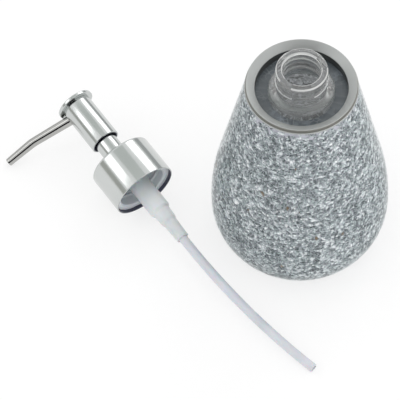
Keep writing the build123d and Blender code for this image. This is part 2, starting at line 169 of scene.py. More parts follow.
# Pump, with most sizes as in the part's source
SHELL_WALL = 0.8 * MM
COLLAR_ROUND = 1.6 * MM
EDGE_ROUND = 0.22 * MM
HOUSING_ROUND = 0.3 * MM
CHIMNEY_ROUND = 0.15 * MM
HEAD_WALL = 1.2 * MM
HEAD_LIP = 0.6 * MM  # bright edge of the head's rim
HEAD_TOP = 2.0 * MM  # bright stretch at the head's other end
PLATE_THICKNESS = 2.0 * MM
PLATE_CROWN = 0.9 * MM
PLATE_ROUND = 0.8 * MM
PLATE_FOOT_ROUND = 0.45 * MM
PLATE_LEAD = 0.4 * MM  # flat stretch that leads the upper round
CROWN_STEPS = 14
SPIGOT_DEPTH = 0.6 * MM
SPIGOT_PLAY = 0.05 * MM
NOZZLE_DROP = 4.75 * MM
NOZZLE_SEAT = 4.0 * MM
NOZZLE_FIRST = 27.9 * MM
NOZZLE_LAST = 15.9 * MM
NOZZLE_BEND = 25.0 * MM
NOZZLE_RISE = radians(12.9)
NOZZLE_TAIL = radians(3.7)
NOZZLE_ROOT = 2.95 * MM
NOZZLE_MIDDLE = 2.65 * MM
NOZZLE_TIP = 2.3 * MM
NOZZLE_BORE = 1.2 * MM
NOZZLE_LIP = 0.35 * MM
NOZZLE_END = 0.4 * MM  # corners this close to its far end give its direction
NOZZLE_SIDES = 48
RUN_STEPS = 10  # on a straight stretch
BORE_SKIP = 3  # the bore takes one station of so many
TUBE_RADIUS = 2.55 * MM
TUBE_BORE = 1.85 * MM
TUBE_BEND = 429.0 * MM
TUBE_BEND_LENGTH = 99.3 * MM
TUBE_BEND_STEPS = 40
TUBE_STRAIGHT = 18.4 * MM  # socket and first stretch
TUBE_STRAIGHT_STEPS = 6
TUBE_SIDES = 40
SPRING_RADIUS = 3.7 * MM
WIRE_RADIUS = 0.4 * MM
SPRING_TURNS = 6
SPRING_STEPS = 28  # a turn
WIRE_SIDES = 10

draw = random.Random(SEED)
joints = {joint["name"]: joint for joint in frame["joints"]}
mounts = {mount["name"]: mount for mount in frame["record"]["mounts"]}
coat_low, coat_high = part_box("clear_coat")
mosaic_low, mosaic_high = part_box("mosaic_layer")
rim_low, rim_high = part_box("rim_ring")
bottle_radius = coat_high.x
mosaic_inset = bottle_radius - mosaic_high.x
rim_radius = rim_high.x
rim_top = rim_high.z
recess_floor = rim_low.z
lip_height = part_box("glass_bottle")[1].z
lip_radius = mounts["neck"]["dims"]["r_mm"] * MM
mouth_radius = mounts["mouth"]["dims"]["r_mm"] * MM


# Helpers for meshes

def placing(x, y, z, origin):
    """Matrix with the given axes and origin."""
    return Matrix([(*x, 0), (*y, 0), (*z, 0), (*origin, 1)]).transposed()


def new_object(name, data):
    made = bpy.data.objects.new(name, data)
    bpy.context.scene.collection.objects.link(made)
    return made


def finish_mesh(name, verts, faces, tags, body, materials, slot, stands_for=()):
    """Makes a piece from its faces, puts it on its body and hides the solids it stands for."""
    mesh = bpy.data.meshes.new(name)
    mesh.from_pydata(verts, [], faces)
    for polygon, tag in zip(mesh.polygons, tags):
        polygon.material_index = tag
        polygon.use_smooth = True
    for material in materials:
        mesh.materials.append(material)
    mesh.set_sharp_from_angle(angle=SHARP_EDGE)
    piece = new_object(name, mesh)
    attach(piece, body)
    if stands_for:
        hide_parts(*stands_for)
    return piece


def add_ring(verts, points):
    """Adds points to the vertices and returns their numbers."""
    first = len(verts)
    verts.extend(points)
    return range(first, len(verts))


def band(a, b):
    """Faces between two rings of points, one of which may be a single point."""
    count = max(len(a), len(b))
    faces = []
    for k in range(count):
        n = (k + 1) % count
        if len(a) == 1:
            faces.append((a[0], b[n], b[k]))
        elif len(b) == 1:
            faces.append((a[k], a[n], b[0]))
        else:
            faces.append((a[k], a[n], b[n], b[k]))
    return faces


def lathe(section, place=Matrix.Identity(4), paint=None, wave=None):
    """Vertices, faces and material numbers of a closed section of (radius, height) points, turned."""
    verts, rings = [], []
    for radius, height in section:
        points = []
        for k in range(1 if radius < TINY else SEGMENTS):
            angle = tau * k / SEGMENTS
            out = radius + (wave(radius, height, angle) if wave else 0)
            points.append(place @ Vector((out * cos(angle), out * sin(angle), height)))
        rings.append(add_ring(verts, points))
    faces, tags = [], []
    for i, a in enumerate(rings):
        j = (i + 1) % len(rings)
        b = rings[j]
        if len(a) == len(b) == 1:
            continue
        made = band(a, b)
        middle = [(section[i][x] + section[j][x]) / 2 for x in (0, 1)]
        faces += made
        tags += [paint(*middle) if paint else 0] * len(made)
    return verts, faces, tags


def turn(name, section, body, materials, slot, stands_for=(), **how):
    """Makes a piece from a section, turned as lathe is told how."""
    finish_mesh(name, *lathe(section, **how), body, materials, slot, stands_for)


def arc(centre, radius, first, last, steps):
    """Points on an arc, from one angle to another."""
    angles = [first + (last - first) * i / steps for i in range(steps + 1)]
    return [(centre[0] + radius * cos(angle), centre[1] + radius * sin(angle)) for angle in angles]


def rounded(corners, steps=ROUND_STEPS):
    """Points of a closed section whose corners (radius, height, round) are rounded."""
    points = []
    for i, (radius, height, size) in enumerate(corners):
        here = Vector((radius, height))
        before = Vector(corners[i - 1][:2]) - here
        after = Vector(corners[(i + 1) % len(corners)][:2]) - here
        half = before.angle(after) / 2 if before.length and after.length else pi / 2
        if size < TINY or half > FLAT_CORNER:
            points.append((radius, height))
            continue
        cut = min(size / tan(half), ROUND_REACH * before.length, ROUND_REACH * after.length)
        bend = cut * tan(half)
        inward = (before.normalized() + after.normalized()).normalized()
        centre = here + inward * (bend / sin(half))
        start = here + before.normalized() * cut - centre
        end = here + after.normalized() * cut - centre
        first = atan2(start.y, start.x)
        sweep = (atan2(end.y, end.x) - first + pi) % tau - pi
        points += arc(centre, bend, first, first + sweep, steps)
    return points


def circle(centre, across, up, radius, sides):
    """Points round a centre, in the plane of two directions."""
    angles = [tau * k / sides for k in range(sides)]
    return [centre + (across * cos(angle) + up * sin(angle)) * radius for angle in angles]


def swept(stations, place, sides):
    """A closed chain of rings at stations (x, z, heading from +Z, radius) in the local XZ plane."""
    verts, rings = [], []
    for x, z, heading, radius in stations:
        across = Vector((cos(heading), 0, -sin(heading)))
        ring = circle(Vector((x, 0, z)), across, Vector((0, 1, 0)), radius, sides)
        rings.append(add_ring(verts, [place @ point for point in ring]))
    faces = []
    for i, ring in enumerate(rings):
        faces += band(ring, rings[(i + 1) % len(rings)])
    return verts, faces, [0] * len(faces)


# Materials
# Scales of noises and cells are counts a metre. Colours are written as they show on a display.

GLASS_IOR = 1.5
COAT_IOR = 1.10
PLASTIC_IOR = 1.49
PLASTIC_DEPTH = 2.5 * MM  # how far light spreads inside
CHROME_HAZE = 0.06  # between smoothest and roughest
MOTTLE_FROM = 0.3  # noise that gives a mottle's first tone
MOTTLE_TO = 0.7


def shade(red, green, blue):
    """Linear colour from a display colour."""
    def linear(value):
        return value / 12.92 if value <= 0.04045 else ((value + 0.055) / 1.055) ** 2.4
    return (linear(red), linear(green), linear(blue), 1.0)


def mask(share):
    """Grey that stands for a share."""
    return (share, share, share, 1.0)


class Nodes:
    """The emptied node tree of a material or a world, with short calls that fill it."""

    def __init__(self, owner, output="ShaderNodeOutputMaterial"):
        owner.use_nodes = True
        self.tree = owner.node_tree
        self.tree.nodes.clear()
        self.surface = self.tree.nodes.new(output).inputs["Surface"]

    def put(self, value, socket):
        """Sets a socket, or links it where the value is another node's output."""
        if isinstance(value, bpy.types.NodeSocket):
            self.tree.links.new(value, socket)
        else:
            socket.default_value = value

    def add(self, kind, inputs, output=0, **fields):
        """Adds a node, fills its inputs and returns one of its outputs."""
        node = self.tree.nodes.new(kind)
        for field, value in fields.items():
            setattr(node, field, value)
        for socket, value in inputs.items():
            self.put(value, node.inputs[socket])
        return node.outputs[output]

    def math(self, operation, first, second=0.0):
        return self.add("ShaderNodeMath", {0: first, 1: second}, operation=operation)

    def between(self, source, low, high):
        return self.add("ShaderNodeMapRange", {"Value": source, "To Min": low, "To Max": high})


class Paint(Nodes):
    """A material with one main shader, and short calls for the nodes that feed it."""

    def __init__(self, name, **sockets):
        self.material = bpy.data.materials.new(name)
        super().__init__(self.material)
        self.shader = self.tree.nodes.new("ShaderNodeBsdfPrincipled")
        self.put(self.shader.outputs[0], self.surface)
        self.where = self.add("ShaderNodeTexCoord", {}, "Object")
        for socket, value in sockets.items():
            self.feed(socket.replace("_", " "), value)

    def feed(self, socket, source):
        self.put(source, self.shader.inputs[socket])
        return self

    def vector(self, operation, first, second=(0, 0, 0), output="Vector"):
        return self.add("ShaderNodeVectorMath", {0: first, 1: second}, output, operation=operation)

    def flat(self):
        """The place without its height."""
        return self.vector("MULTIPLY", self.where, (1, 1, 0))

    def stretched(self, scale):
        return self.add("ShaderNodeMapping", {"Scale": scale, "Vector": self.where})

    def noise(self, scale, detail=2.0, source=None, output="Fac"):
        inputs = {"Scale": scale, "Detail": detail, "Vector": source or self.where}
        return self.add("ShaderNodeTexNoise", inputs, output)

    def cells(self, scale, feature="F1", output="Distance", source=None):
        inputs = {"Scale": scale, "Vector": source or self.where}
        return self.add("ShaderNodeTexVoronoi", inputs, output, feature=feature)

    def attribute(self, name, output="Fac"):
        return self.add("ShaderNodeAttribute", {}, output, attribute_name=name)

    def ramp(self, source, *stops):
        made = self.tree.nodes.new("ShaderNodeValToRGB")
        elements = made.color_ramp.elements
        while len(elements) < len(stops):
            elements.new(0.5)
        for element, (place, colour) in zip(elements, stops):
            element.position = place
            element.color = colour
        self.put(source, made.inputs[0])
        return made.outputs["Color"]

    def mixed(self, share, first, second, kind="MIX"):
        inputs = {0: share, 6: first, 7: second}
        return self.add("ShaderNodeMix", inputs, 2, data_type="RGBA", blend_type=kind)

    def mottle(self, scale, detail, low, high):
        """Base colour that drifts between two tones."""
        tone = self.ramp(self.noise(scale, detail), (MOTTLE_FROM, low), (MOTTLE_TO, high))
        return self.feed("Base Color", tone)

    def rough(self, scale, detail, low, high):
        """Roughness that drifts between two values."""
        return self.feed("Roughness", self.between(self.noise(scale, detail), low, high))

    def bump(self, source, distance, strength):
        inputs = {"Distance": distance, "Strength": strength, "Height": source}
        return self.feed("Normal", self.add("ShaderNodeBump", inputs))

    def clear(self):
        """Smooth, faintly wavy glass that casts no shadow of its own."""
        self.rough(160, 3, 0.0, 0.03)
        self.bump(self.noise(70, 2), 0.05 * MM, 0.25)
        lamp_ray = self.add("ShaderNodeLightPath", {}, "Is Shadow Ray")
        nothing = self.add("ShaderNodeBsdfTransparent", {})
        mix = self.add("ShaderNodeMixShader", {0: lamp_ray, 1: self.shader.outputs[0], 2: nothing})
        self.put(mix, self.surface)
        return self


def chrome(name, low, high, rough):
    p = Paint(name, Metallic=1.0).mottle(35, 2, low, high)
    p.rough(90, 4, rough, rough + CHROME_HAZE)
    return p.bump(p.noise(420, 3), 0.01 * MM, 0.25).material


def satin():
    p = Paint("satin_metal", Metallic=0.6)
    p.mottle(28, 3, shade(0.68, 0.69, 0.685), shade(0.72, 0.73, 0.725))
    p.rough(180, 4, 0.34, 0.44)
    reach = p.vector("LENGTH", p.flat(), output="Value")
    return p.bump(p.noise(3800, 2, reach), 0.02 * MM, 0.15).material


def plain(name, tones, rough, **sockets):
    """A mottled material, its tones and its roughness each as scale, detail, low and high."""
    return Paint(name, **sockets).mottle(*tones).rough(*rough).material


def shaded_metal(name, low, high):
    return plain(name, (90, 3, low, high), (240, 3, 0.3, 0.45), Metallic=0.5)


def chips():
    p = Paint("mosaic_chips", IOR=GLASS_IOR)
    grain = p.between(p.noise(900, 3), -0.12, 0.12)
    phase = p.vector("DOT_PRODUCT", p.where, p.attribute("stripe", "Vector"), "Value")
    stripe = p.math("MULTIPLY", p.math("SINE", phase), 0.18)
    shard = p.between(p.cells(950, "F1", "Color"), -0.42, 0.42)
    colour = p.ramp(
        p.math("ADD", p.math("ADD", p.attribute("tone"), grain), p.math("ADD", stripe, shard)),
        (0.00, shade(0.29, 0.335, 0.34)),
        (0.22, shade(0.44, 0.485, 0.485)),
        (0.50, shade(0.60, 0.65, 0.65)),
        (0.78, shade(0.85, 0.89, 0.89)),
        (1.00, shade(0.985, 0.995, 0.995)),
    )
    edge = p.cells(620, "DISTANCE_TO_EDGE")
    line = p.ramp(edge, (0.0, mask(0.7)), (0.11, mask(0)))
    colour = p.mixed(line, colour, shade(0.72, 0.725, 0.75))
    # Near-white dots in some cells: painted glints of sparkle on the chips.
    glint_cells = p.ramp(p.cells(560, "F1", "Color"), (0.80, mask(0)), (0.83, mask(1)))
    glint_dots = p.ramp(p.cells(560), (0.26, mask(1)), (0.36, mask(0)))
    colour = p.mixed(p.mixed(1.0, glint_cells, glint_dots, "MULTIPLY"), colour, shade(0.985, 0.995, 0.99))
    p.feed("Base Color", p.mixed(p.attribute("warm"), colour, shade(0.46, 0.36, 0.20)))
    p.feed("Roughness", p.between(p.attribute("gloss"), 0.06, 0.42))
    p.feed("Metallic", p.between(p.attribute("gloss"), 0.0, 0.25))
    return p.bump(edge, 0.3 * MM, 0.5).material


def grout():
    p = Paint("mosaic_bed")
    p.mottle(420, 4, shade(0.70, 0.70, 0.735), shade(0.79, 0.79, 0.82))
    p.rough(900, 3, 0.45, 0.7)
    return p.bump(p.noise(1500, 4), 0.1 * MM, 0.6).material


def coat():
    p = Paint("clear_coat", Transmission_Weight=1.0, IOR=COAT_IOR)
    p.mottle(30, 2, shade(0.97, 0.98, 0.985), shade(0.985, 0.99, 0.995))
    return p.clear().material


def neck_glass(name, clear):
    p = Paint(name, Transmission_Weight=clear, IOR=GLASS_IOR)
    # The milky share and its stretched rings of tone stand partly for painted reflection streaks in the glass.
    rings = p.noise(1.0, 3, p.stretched((70, 70, 900)))
    tone = p.ramp(rings, (MOTTLE_FROM, shade(0.80, 0.81, 0.81)), (MOTTLE_TO, shade(0.985, 0.985, 0.98)))
    p.feed("Base Color", tone)
    return p.clear().material


def recess_glass():
    p = Paint("recess_glass", IOR=GLASS_IOR)
    streak = p.noise(4.0, 3, p.vector("NORMALIZE", p.flat()))
    cloud = p.noise(130, 3)
    tone = p.ramp(
        p.math("MULTIPLY", streak, p.math("ADD", cloud, 0.5)),
        (0.25, shade(0.30, 0.325, 0.34)),
        (0.50, shade(0.36, 0.385, 0.40)),
        (0.75, shade(0.44, 0.47, 0.495)),
    )
    # Light crack lines and patches: painted reflections of the chips in the recess's glass.
    crack = p.ramp(p.cells(330, "DISTANCE_TO_EDGE"), (0.0, mask(1)), (0.10, mask(0)))
    patch = p.ramp(p.noise(55, 2), (0.48, mask(0)), (0.66, mask(0.6)))
    p.feed("Base Color", p.mixed(p.mixed(1.0, crack, patch, "MULTIPLY"), tone, shade(0.60, 0.63, 0.65)))
    p.feed("Roughness", p.between(cloud, 0.16, 0.34))
    return p.bump(cloud, 0.1 * MM, 0.3).material


def inside_glow_glass():
    """Inside of the bottle, glowing with painted light that stands for the light coming in through the mosaic."""
    p = Paint("inside_glow_glass", IOR=GLASS_IOR, Emission_Strength=0.55)
    bent = p.mixed(0.02, p.where, p.noise(180, output="Color"))
    edge = p.cells(150, "DISTANCE_TO_EDGE", source=bent)
    shard = p.ramp(
        p.cells(150, "F1", "Color", bent),
        (0.0, shade(0.34, 0.345, 0.345)),
        (1.0, shade(0.50, 0.51, 0.515)),
    )
    line = p.ramp(edge, (0.0, mask(1)), (0.10, mask(0)))
    colour = p.mixed(line, shard, shade(0.66, 0.67, 0.68))
    p.feed("Base Color", colour)
    p.feed("Emission Color", colour)
    p.rough(300, 2, 0.15, 0.3)
    return p.bump(edge, 0.3 * MM, 0.5).material


def plastic(name, low, high, rough, glow):
    p = Paint(name, Subsurface_Weight=glow, Subsurface_Scale=PLASTIC_DEPTH, IOR=PLASTIC_IOR)
    p.mottle(70, 3, low, high)
    p.rough(260, 3, rough * 0.8, rough * 1.25)
    return p.bump(p.noise(620, 3), 0.02 * MM, 0.3).material


CHROME = chrome("chrome", shade(0.775, 0.79, 0.785), shade(0.80, 0.81, 0.805), rough=0.12)
SPOUT = chrome("spout_chrome", shade(0.69, 0.69, 0.68), shade(0.72, 0.72, 0.71), rough=0.07)
# Dark navy for the insides of the collar and the head: painted shade, partly the raw inside's own darker tone.
DARK_INSIDE_SHADE = plain("dark_inside_shade", (160, 2, shade(0.26, 0.265, 0.33), shade(0.31, 0.315, 0.38)), (220, 3, 0.28, 0.42),
             Metallic=0.2)
SATIN = satin()
# Painted shade: a dark tone for the rim's recess wall and a lighter one for its groove.
SHADED = shaded_metal("shaded_metal", shade(0.30, 0.31, 0.31), shade(0.36, 0.37, 0.37))
GROOVE_SHADE = shaded_metal("groove_shade_metal", shade(0.52, 0.52, 0.50), shade(0.58, 0.58, 0.56))
CHIPS = chips()
GROUT = grout()
COAT = coat()
GLASS = neck_glass("neck_glass", clear=0.91)
# Painted highlights on the neck's lip edges and thread crest: a milkier glass.
NECK_HIGHLIGHT = neck_glass("neck_painted_highlight", clear=0.42)
RECESS = recess_glass()
INSIDE_GLOW = inside_glow_glass()
FOOT = plain("foot_glass", (60, 3, shade(0.58, 0.63, 0.63), shade(0.70, 0.74, 0.74)), (300, 3, 0.12, 0.3),
             IOR=GLASS_IOR)
INSERT = plastic("insert_plastic", shade(0.84, 0.86, 0.875), shade(0.89, 0.905, 0.92), rough=0.32, glow=0.1)
NATURAL = plastic("natural_plastic", shade(0.80, 0.82, 0.83), shade(0.86, 0.875, 0.88), rough=0.34, glow=0.35)
TUBE = plastic("tube_plastic", shade(0.80, 0.81, 0.835), shade(0.855, 0.86, 0.885), rough=0.36, glow=0.35)
RUBBER = plastic("seal_rubber", shade(0.80, 0.80, 0.79), shade(0.86, 0.86, 0.85), rough=0.6, glow=0.1)
STEEL = plain("spring_steel", (300, 2, shade(0.62, 0.63, 0.64), shade(0.72, 0.73, 0.74)), (500, 3, 0.2, 0.34),
              Metallic=1.0)


# Bottle

lower_centre = (bottle_radius - LOWER_ROUND, BELLY_HEIGHT)
upper_centre = (bottle_radius - UPPER_ROUND, BELLY_HEIGHT)
to_rim = (rim_radius - upper_centre[0], rim_top - BELLY_HEIGHT)
flank_lean = atan2(to_rim[1], to_rim[0]) - acos(UPPER_ROUND / hypot(*to_rim))


def outline(inset, low, high, step=ANGLE_STEP):
    """Points (radius, height) of the bottle's outline, moved inward, from one height up to another."""
    lower, upper = LOWER_ROUND - inset, UPPER_ROUND - inset
    start = atan2(low - BELLY_HEIGHT, sqrt(lower ** 2 - (low - BELLY_HEIGHT) ** 2))
    points = arc(lower_centre, lower, start, 0.0, max(2, round(-start / step)))[:-1]
    points += arc(upper_centre, upper, 0.0, flank_lean, max(2, round(flank_lean / step * 2)))
    bend = points[-1]
    for i in range(1, FLANK_STEPS + 1):
        height = bend[1] + (high - bend[1]) * i / FLANK_STEPS
        points.append((bend[0] - (height - bend[1]) * tan(flank_lean), height))
    return points


def layer(outer, inner, low, high):
    """Closed section between two outlines."""
    return outline(outer, low, high) + outline(inner, low, high)[::-1]


def make_coat():
    section = layer(0, mosaic_inset + COAT_BACK, coat_low.z, coat_high.z - RIM_BEAD_FOOT - JOINT_GAP)
    turn("clear_coat_skin", section, "bottle", [COAT], "clear_coat", ["clear_coat"])


def make_bed():
    back = GLASS_INSET - 2 * JOINT_GAP
    section = layer(mosaic_inset + CHIP_BED, back, mosaic_low.z + JOINT_GAP, mosaic_high.z - JOINT_GAP)
    turn("mosaic_bed", section, "bottle", [GROUT], "mosaic_glass", ["mosaic_layer"])


class Track:
    """The bottle's outline as a path, by length from its lower end."""

    def __init__(self, inset, low, high):
        self.points = outline(inset, low, high, ANGLE_STEP / 3)
        self.lengths = [0.0]
        for a, b in zip(self.points, self.points[1:]):
            self.lengths.append(self.lengths[-1] + hypot(b[0] - a[0], b[1] - a[1]))
        self.end = self.lengths[-1]

    def at(self, length):
        """Radius, height and outward direction at a length."""
        i = min(max(bisect_right(self.lengths, length) - 1, 0), len(self.points) - 2)
        a, b = self.points[i], self.points[i + 1]
        run = self.lengths[i + 1] - self.lengths[i]
        share = (length - self.lengths[i]) / run
        way = ((b[0] - a[0]) / run, (b[1] - a[1]) / run)
        return a[0] + (b[0] - a[0]) * share, a[1] + (b[1] - a[1]) * share, way[1], -way[0]


def chip_rows(track):
    """Jittered points (angle, length) round the bottle, and their numbers in rows."""
    count = round(track.end / CHIP_ROW)
    points, rows = [], []
    for j in range(count + 1):
        length = track.end * j / count
        around = round(tau * track.at(length)[0] / CHIP_STEP)
        phase = draw.random()
        row = []
        for k in range(around):
            share = (k + phase + draw.uniform(-CHIP_JITTER, CHIP_JITTER)) / around
            shift = draw.uniform(-CHIP_JITTER, CHIP_JITTER) * CHIP_ROW if 0 < j < count else 0.0
            row.append(len(points))
            points.append((share * tau, length + shift))
        rows.append(row)
    return points, rows


def chip_triangles(points, rows):
    """The triangles between neighbouring rows."""
    def angle(row, i):
        return points[row[i % len(row)]][0] + tau * (i // len(row))

    triangles = []
    for lower, upper in zip(rows, rows[1:]):
        i = 0
        k = min(range(-len(upper), len(upper)), key=lambda n: abs(angle(upper, n) - angle(lower, 0)))
        last = k + len(upper)
        while i < len(lower) or k < last:
            here, across = lower[i % len(lower)], upper[k % len(upper)]
            if i < len(lower) and (k >= last or angle(lower, i + 1) <= angle(upper, k + 1)):
                i += 1
                triangles.append((here, lower[i % len(lower)], across))
            else:
                k += 1
                triangles.append((here, upper[k % len(upper)], across))
    return triangles


def unrolled(points, loop, radius):
    """Flat (x, y) of a chip's corners, from its first corner."""
    first = points[loop[0]]
    return [((((points[p][0] - first[0] + pi) % tau) - pi) * radius, points[p][1] - first[1]) for p in loop]


def is_convex(flat):
    for i in range(len(flat)):
        a, b, c = flat[i - 2], flat[i - 1], flat[i]
        if (b[0] - a[0]) * (c[1] - b[1]) - (b[1] - a[1]) * (c[0] - b[0]) < TINY * MM:
            return False
    return True


def chip_loops(points, triangles, track):
    """Triangles joined at random into convex shards of three to six corners."""
    owners = {}
    for number, loop in enumerate(triangles):
        for a, b in zip(loop, loop[1:] + loop[:1]):
            owners.setdefault(frozenset((a, b)), []).append(number)
    order = list(range(len(triangles)))
    draw.shuffle(order)
    used, loops = set(), []
    for number in order:
        if number in used:
            continue
        used.add(number)
        loop = list(triangles[number])
        radius = track.at(points[loop[0]][1])[0]
        for _ in range(draw.choices(range(len(MERGE_SHARES)), MERGE_SHARES)[0]):
            sides = list(range(len(loop)))
            draw.shuffle(sides)
            for side in sides:
                a, b = loop[side], loop[(side + 1) % len(loop)]
                spare = [t for t in owners[frozenset((a, b))] if t not in used]
                if not spare:
                    continue
                tip = [p for p in triangles[spare[0]] if p not in (a, b)][0]
                grown = loop[:side + 1] + [tip] + loop[side + 1:]
                if tip not in loop and is_convex(unrolled(points, grown, radius)):
                    loop = grown
                    used.add(spare[0])
                    break
        loops.append(loop)
    return loops


def draw_chip():
    """A chip's lean, its lift and its looks, drawn at random."""
    lean = (draw.gauss(0, CHIP_LEAN), draw.gauss(0, CHIP_LEAN))
    lift = draw.uniform(-CHIP_LIFT, CHIP_LIFT)
    middle, spread = draw.choices(CHIP_TONES, TONE_SHARES)[0]
    looks = {"tone": min(max(draw.gauss(middle, spread), 0.0), 1.0), "gloss": draw.random()}
    stripe = Vector([draw.gauss(0, 1) for _ in range(3)]).normalized() * STRIPES
    if draw.random() > STRIPED_SHARE:
        stripe *= 0.0
    looks["stripe"] = stripe
    looks["warm"] = WARM_TINT if draw.random() < WARM_SHARE else 0.0
    return lean, lift, looks


def drawn_in(flat, middle, bevel):
    """Steps from a chip's middle to its corners, drawn in for the grout and the bevel."""
    steps = []
    for x, y in flat:
        away = Vector((x - middle[0], y - middle[1]))
        reach = max(away.length - CHIP_INSET - bevel, away.length * CHIP_LEAST)
        steps.append(away.normalized() * reach)
    return steps


def make_chips():
    track = Track(mosaic_inset, mosaic_low.z + 2 * JOINT_GAP, mosaic_high.z - CHIP_SKIRT)
    points, rows = chip_rows(track)
    verts, faces = [], []
    all_looks = {"tone": [], "gloss": [], "warm": [], "stripe": []}
    for loop in chip_loops(points, chip_triangles(points, rows), track):
        angle, length = points[loop[0]]
        radius = track.at(length)[0]
        flat = unrolled(points, loop, radius)
        middle = (sum(x for x, _ in flat) / len(flat), sum(y for _, y in flat) / len(flat))
        lean, lift, looks = draw_chip()
        below_end = (track.end - length - middle[1]) / CHIP_THIN
        if draw.random() > THIN_SHARE + below_end:
            continue

        def corner(away, depth):
            r, z, out, up = track.at(min(max(length + middle[1] + away.y, 0.0), track.end))
            r, z = r - out * depth, z - up * depth
            around = angle + (middle[0] + away.x) / radius
            return r * cos(around), r * sin(around), z

        root = add_ring(verts, [corner(away, CHIP_ROOT) for away in drawn_in(flat, middle, 0.0)])
        upper = []
        for away in drawn_in(flat, middle, CHIP_BEVEL):
            depth = CHIP_TOP + lift + lean[0] * away.x + lean[1] * away.y
            upper.append(corner(away, min(max(depth, -CHIP_PROUD), CHIP_BED)))
        top = add_ring(verts, upper)
        made = [tuple(top), tuple(reversed(root))]
        made += [(root[i - 1], root[i], top[i], top[i - 1]) for i in range(len(loop))]
        faces += made
        for look, value in looks.items():
            all_looks[look] += [value] * len(made)
    piece = finish_mesh("mosaic_chips", verts, faces, [0] * len(faces), "bottle", [CHIPS], "mosaic_glass")
    for look in ("tone", "gloss", "warm"):
        piece.data.attributes.new(look, "FLOAT", "FACE").data.foreach_set("value", all_looks[look])
    stripes = [x for stripe in all_looks["stripe"] for x in stripe]
    piece.data.attributes.new("stripe", "FLOAT_VECTOR", "FACE").data.foreach_set("vector", stripes)
    piece.data.polygons.foreach_set("use_smooth", [False] * len(faces))


def make_rim():
    under = RIM_HEIGHT - RIM_BAND
    face_low = RIM_HEIGHT - RIM_FACE_DROP
    sleeve = OPENING_RADIUS + SLEEVE_WALL
    back = rim_radius - RIM_BEAD_BACK
    bead = rim_radius + RIM_BEAD
    groove = rim_radius - GROOVE_DEPTH
    edge = rim_radius - BAND_DEPTH
    bead_low, groove_low, groove_high = under - RIM_BEAD_FOOT, under - RIM_BEAD_TOP, under + GROOVE_TOP
    section = rounded([
        (OPENING_RADIUS, recess_floor, SMALL_ROUND),
        (sleeve, recess_floor, SMALL_ROUND),
        (sleeve, under, 0),
        (back, under, 0),
        (back, bead_low, 0),
        (bead, bead_low, SMALL_ROUND),
        (bead, groove_low, RIM_BEAD_ROUND),
        (groove, groove_low, SMALL_ROUND),
        (groove, groove_high, SMALL_ROUND),
        (edge, groove_high, GROOVE_EDGE),
        (edge, RIM_HEIGHT, RIM_ROUND),
        (OPENING_RADIUS, face_low, OPENING_ROUND),
    ])

    def paint(radius, height):
        """1 for the recess wall, 2 for the groove: both painted shade."""
        if radius < OPENING_RADIUS + RECESS_EDGE and height < face_low - RECESS_EDGE:
            return 1
        inside = back < radius < bead - RIM_BEAD_ROUND - JOINT_GAP
        return 2 if inside and groove_low - TINY < height < groove_high + TINY else 0

    turn("rim_ring_turned", section, "bottle", [SATIN, SHADED, GROOVE_SHADE], "satin_metal", ["rim_ring"],
         paint=paint)


def ridge(height, angle, start, crest):
    """Height of the screw thread at a point of its wall."""
    best = 0.0
    for whole in (0, 1):
        along = whole + angle / tau
        if along > THREAD_TURNS:
            continue
        away = abs(height - start - THREAD_PITCH * along) / THREAD_HALF
        if away < 1:
            fade = min(1.0, along / THREAD_FADE, (THREAD_TURNS - along) / THREAD_FADE)
            best = max(best, crest * max(fade, 0) * (0.5 + 0.5 * cos(pi * away)))
    return best


def in_arc(angle, phase, unevenness, level):
    return sin(ARC_WAVES * angle + phase) + unevenness * sin(UNEVEN_WAVES * angle) > level


def make_neck():
    under = recess_floor - GLASS_WALL
    side = BEAD_RADIUS - JOINT_GAP
    bead_centre = (BEAD_RADIUS - BEAD_ROUND, recess_floor + BEAD_HEIGHT)
    section = [(BEAD_RADIUS - GLASS_WALL, under), (side, under), (side, recess_floor)]
    section += arc(bead_centre, BEAD_ROUND, 0.0, pi / 2 - BEAD_SLOPE, BEAD_STEPS)
    crest = section[-1]
    foot = crest[1] + (crest[0] - NECK_RADIUS) * tan(BEAD_SLOPE)
    fillet = [crest + (0,), (NECK_RADIUS, foot, NECK_FILLET), (NECK_RADIUS, lip_height, 0)]
    section += rounded(fillet, FINE_STEPS)[1:-1]
    lip_foot = lip_height - LIP_BAND
    wall_low, wall_high = section[-1][1], lip_foot - (lip_radius - NECK_RADIUS)
    for i in range(1, THREAD_ROWS):
        section.append((NECK_RADIUS, wall_low + (wall_high - wall_low) * i / THREAD_ROWS))
    section += rounded([
        (NECK_RADIUS, wall_low, 0),
        (NECK_RADIUS, wall_high, LIP_FILLET),
        (lip_radius, lip_foot, LIP_FILLET),
        (lip_radius, lip_height, LIP_ROUND),
        (mouth_radius, lip_height, MOUTH_ROUND),
        (mouth_radius, wall_low, 0),
    ], LIP_STEPS)[1:-1]
    throat = recess_floor + THROAT_RISE
    section += [(mouth_radius, throat + THROAT_LEAD), (mouth_radius, throat)]

    def wave(radius, height, angle):
        on_wall = abs(radius - NECK_RADIUS) < TINY and wall_low < height < wall_high
        return ridge(height, angle, wall_low + NECK_START, NECK_RIDGE) if on_wall else 0.0

    def gets_painted_highlight(face):
        """Whether a face gets the painted highlight: on the thread's crest or on one of the lip's two edges, in
        broken arcs.
        """
        centre = sum((verts[n] for n in face), Vector()) / len(face)
        radius = hypot(centre.x, centre.y)
        angle = atan2(centre.y, centre.x)
        if wall_low < centre.z < wall_high:
            return radius > NECK_RADIUS + CREST_SHARE * NECK_RIDGE and in_arc(angle, *CREST_ARCS)
        outer, inner = lip_radius - LIP_OUTER * LIP_ROUND, mouth_radius + LIP_INNER * MOUTH_ROUND
        on_edge = centre.z >= lip_height - LIP_DOWN * LIP_ROUND and not inner <= radius <= outer
        return on_edge and in_arc(angle, *LIP_ARCS)

    verts, faces, _ = lathe(section, wave=wave)
    tags = [int(gets_painted_highlight(face)) for face in faces]
    finish_mesh("bottle_neck", verts, faces, tags, "bottle", [GLASS, NECK_HIGHLIGHT], "bottle_glass", ["glass_bottle"])


